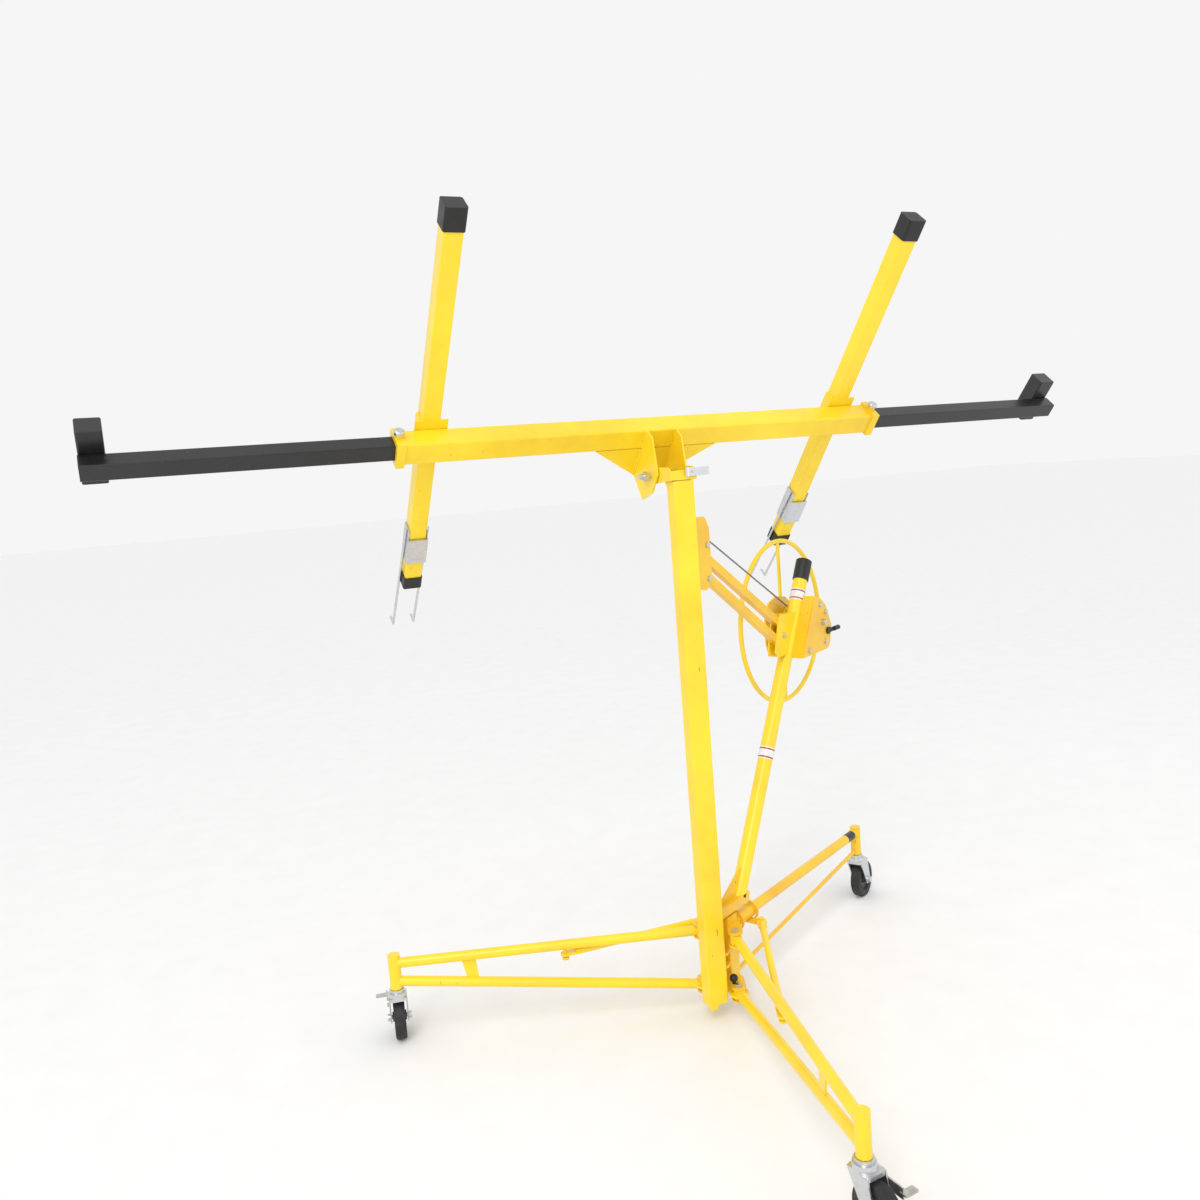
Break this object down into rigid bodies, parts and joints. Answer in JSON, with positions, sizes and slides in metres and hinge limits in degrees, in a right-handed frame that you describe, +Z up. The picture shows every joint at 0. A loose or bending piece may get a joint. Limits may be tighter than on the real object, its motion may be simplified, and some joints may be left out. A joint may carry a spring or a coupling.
{
  "type": "drywall lift",
  "caption": "Tripod panel lift with telescoping mast, leaning winch post with handwheel, and a tilting cradle with sliding side arms.",
  "frame": {"origin": "on the floor under the middle of the whole lift", "axes": "+X along the cradle beam, +Y towards the panel's lower edge, +Z up"},
  "size_m": [2.35, 1.3301, 1.7665],
  "materials": {
    "yellow_paint": "semi gloss",
    "black_paint": "semi gloss",
    "zinc": "zinc plated",
    "chrome": "polished",
    "wheel_rubber": "matt",
    "brake_steel": "plated",
    "black_plastic": "moulded",
    "steel_cable": "twisted wire"
  },
  "bodies": {
    "base": {"base_hub": "yellow_paint", "rear_leg_tube": "yellow_paint", "truss_rod": "yellow_paint", "leg_pivot_bolts": "zinc", "mast_outer": "yellow_paint", "mast_bracket": "yellow_paint", "mast_foot_bracket": "yellow_paint", "winch_post": "yellow_paint", "post_cap": "black_plastic", "post_bracket": "yellow_paint", "winch_arms": "yellow_paint", "winch_housing": "yellow_paint", "winch_bolts": "zinc", "lift_cable": "steel_cable", "cable_drop": "steel_cable"},
    "left_leg": {"left_leg_upper": "yellow_paint", "left_leg_lower": "yellow_paint"},
    "right_leg": {"right_leg_upper": "yellow_paint", "right_leg_lower": "yellow_paint"},
    "left_lock": {"left_leg_lock": "black_plastic"},
    "right_lock": {"right_leg_lock": "black_plastic"},
    "collar": {"brace_collar": "yellow_paint"},
    "left_brace_arm": {"left_brace": "yellow_paint"},
    "right_brace_arm": {"right_brace": "yellow_paint"},
    "middle_mast": {"mast_middle": "yellow_paint"},
    "inner_mast": {"mast_inner": "yellow_paint", "head_bracket": "yellow_paint", "tilt_bolt": "zinc", "tilt_spring": "brake_steel"},
    "latch": {"tilt_latch": "chrome"},
    "pulley": {"mast_pulley": "zinc"},
    "winch_wheel": {"handwheel": "yellow_paint", "winch_shaft": "zinc", "winch_drum": "yellow_paint", "ratchet_wheel": "zinc"},
    "lever": {"brake_lever": "black_plastic"},
    "cradle": {"cradle_beam": "yellow_paint", "cradle_yoke": "yellow_paint", "beam_guides": "yellow_paint", "left_cross_arm": "yellow_paint", "right_cross_arm": "yellow_paint", "arm_end_caps": "black_plastic", "arm_saddles": "yellow_paint"},
    "left_reach": {"left_outrigger": "black_paint"},
    "right_reach": {"right_outrigger": "black_paint"},
    "left_pin": {"left_plunger": "zinc"},
    "right_pin": {"right_plunger": "zinc"},
    "left_hook": {"left_panel_hook": "zinc"},
    "right_hook": {"right_panel_hook": "zinc"},
    "left_caster": {"left_caster_fork": "zinc"},
    "left_wheel": {"left_caster_wheel": "wheel_rubber"},
    "left_pedal": {"left_caster_brake": "brake_steel"},
    "right_caster": {"right_caster_fork": "zinc"},
    "right_wheel": {"right_caster_wheel": "wheel_rubber"},
    "right_pedal": {"right_caster_brake": "brake_steel"},
    "rear_caster": {"rear_caster_fork": "zinc"},
    "rear_wheel": {"rear_caster_wheel": "wheel_rubber"},
    "rear_pedal": {"rear_caster_brake": "brake_steel"}
  },
  "joints": [
    {"name": "left_leg_fold", "type": "hinge", "parent": "base", "child": "left_leg", "pos_m": [-0.00612, 0.18207, 0.126], "axis": [0, 0, -1], "range_deg": [0, 104]},
    {"name": "right_leg_fold", "type": "hinge", "parent": "base", "child": "right_leg", "pos_m": [0.03741, 0.09876, 0.126], "axis": [0, 0, 1], "range_deg": [0, 104]},
    {"name": "collar_slide", "type": "slide", "parent": "base", "child": "collar", "axis": [0.8863, 0.4631, 0], "range_m": [0, 0.53992]},
    {"name": "left_brace_swing", "type": "hinge", "parent": "left_leg", "child": "left_brace_arm", "pos_m": [-0.30519, 0.29015, 0.17], "axis": [0, 0, 1], "range_deg": [0, 117.21]},
    {"name": "left_lock_pull", "type": "slide", "parent": "base", "child": "left_lock", "axis": [0, 0, 1], "range_m": [0, 0.01], "stiffness_N_per_m": 400, "springref_m": -0.002},
    {"name": "right_brace_swing", "type": "hinge", "parent": "right_leg", "child": "right_brace_arm", "pos_m": [-0.04462, -0.20848, 0.17], "axis": [0, 0, -1], "range_deg": [0, 117.21]},
    {"name": "right_lock_pull", "type": "slide", "parent": "base", "child": "right_lock", "axis": [0, 0, 1], "range_m": [0, 0.01], "stiffness_N_per_m": 400, "springref_m": -0.002},
    {"name": "left_swivel", "type": "hinge", "parent": "left_leg", "child": "left_caster", "pos_m": [-0.67241, 0.42286, 0.12], "axis": [0, 0, 1], "continuous": true},
    {"name": "left_roll", "type": "hinge", "parent": "left_caster", "child": "left_wheel", "pos_m": [-0.66707, 0.45034, 0.051], "axis": [-0.9816, 0.1908, 0], "continuous": true},
    {"name": "left_brake_press", "type": "hinge", "parent": "left_caster", "child": "left_pedal", "pos_m": [-0.68961, 0.44657, 0.092], "axis": [-0.9816, 0.1908, 0], "range_deg": [0, 16]},
    {"name": "right_swivel", "type": "hinge", "parent": "right_leg", "child": "right_caster", "pos_m": [-0.14535, -0.58573, 0.12], "axis": [0, 0, 1], "continuous": true},
    {"name": "right_roll", "type": "hinge", "parent": "right_caster", "child": "right_wheel", "pos_m": [-0.14291, -0.61362, 0.051], "axis": [0.9962, 0.0872, 0], "continuous": true},
    {"name": "right_brake_press", "type": "hinge", "parent": "right_caster", "child": "right_pedal", "pos_m": [-0.12229, -0.60379, 0.092], "axis": [0.9962, 0.0872, 0], "range_deg": [0, 16]},
    {"name": "rear_swivel", "type": "hinge", "parent": "base", "child": "rear_caster", "pos_m": [0.66883, 0.48175, 0.12], "axis": [0, 0, 1], "continuous": true},
    {"name": "rear_roll", "type": "hinge", "parent": "rear_caster", "child": "rear_wheel", "pos_m": [0.69308, 0.49575, 0.051], "axis": [-0.5, 0.866, 0], "continuous": true},
    {"name": "rear_brake_press", "type": "hinge", "parent": "rear_caster", "child": "rear_pedal", "pos_m": [0.67545, 0.51028, 0.092], "axis": [-0.5, 0.866, 0], "range_deg": [0, 16]},
    {"name": "mast_middle_lift", "type": "slide", "parent": "base", "child": "middle_mast", "axis": [0, 0, 1], "range_m": [0, 0.95], "deforming": ["cable_drop"]},
    {"name": "mast_inner_lift", "type": "slide", "parent": "middle_mast", "child": "inner_mast", "axis": [0, 0, 1], "range_m": [0, 0.95]},
    {"name": "winch_turn", "type": "hinge", "parent": "base", "child": "winch_wheel", "pos_m": [0.44924, 0.40536, 0.838], "axis": [-0.4631, 0.8863, 0], "range_deg": [0, 2275]},
    {"name": "pulley_turn", "type": "hinge", "parent": "base", "child": "pulley", "pos_m": [0.00905, 0.15101, 1.118], "axis": [-0.5003, 0.8658, 0], "range_deg": [0, 2480]},
    {"name": "brake_lever_turn", "type": "hinge", "parent": "base", "child": "lever", "pos_m": [0.51208, 0.34342, 0.812], "axis": [0.4631, -0.8863, 0], "range_deg": [-20, 20]},
    {"name": "cradle_tilt", "type": "hinge", "parent": "inner_mast", "child": "cradle", "pos_m": [-0.01, 0.1912, 1.2465], "axis": [1, 0, 0], "range_deg": [-4, 60]},
    {"name": "latch_swing", "type": "hinge", "parent": "inner_mast", "child": "latch", "pos_m": [-0.004, 0.104, 1.25], "axis": [0, 0, -1], "range_deg": [0, 75]},
    {"name": "left_reach_slide", "type": "slide", "parent": "cradle", "child": "left_reach", "axis": [1, 0, 0], "range_m": [0, 0.4]},
    {"name": "right_reach_slide", "type": "slide", "parent": "cradle", "child": "right_reach", "axis": [-1, 0, 0], "range_m": [0, 0.4]},
    {"name": "left_plunger_pull", "type": "slide", "parent": "cradle", "child": "left_pin", "axis": [0, -0.6414, 0.7672], "range_m": [0, 0.008], "stiffness_N_per_m": 600, "springref_m": -0.002},
    {"name": "left_hook_swing", "type": "hinge", "parent": "cradle", "child": "left_hook", "pos_m": [-0.52, 0.43204, 1.16892], "axis": [-1, 0, 0], "range_deg": [0, 60]},
    {"name": "right_plunger_pull", "type": "slide", "parent": "cradle", "child": "right_pin", "axis": [0, -0.6414, 0.7672], "range_m": [0, 0.008], "stiffness_N_per_m": 600, "springref_m": -0.002},
    {"name": "right_hook_swing", "type": "hinge", "parent": "cradle", "child": "right_hook", "pos_m": [0.5, 0.43204, 1.16892], "axis": [-1, 0, 0], "range_deg": [0, 15]}
  ],
  "couplings": [
    {"joint": "right_leg_fold", "follows": "left_leg_fold", "ratio": 1},
    {"joint": "collar_slide", "follows": "left_leg_fold", "m_per_rad": 0.29718},
    {"joint": "left_brace_swing", "follows": "left_leg_fold", "ratio": 1.126},
    {"joint": "right_brace_swing", "follows": "left_leg_fold", "ratio": 1.126},
    {"joint": "mast_inner_lift", "follows": "mast_middle_lift", "ratio": 1},
    {"joint": "winch_turn", "follows": "mast_middle_lift", "rad_per_m": 41.667},
    {"joint": "pulley_turn", "follows": "mast_middle_lift", "rad_per_m": 45.455}
  ]
}
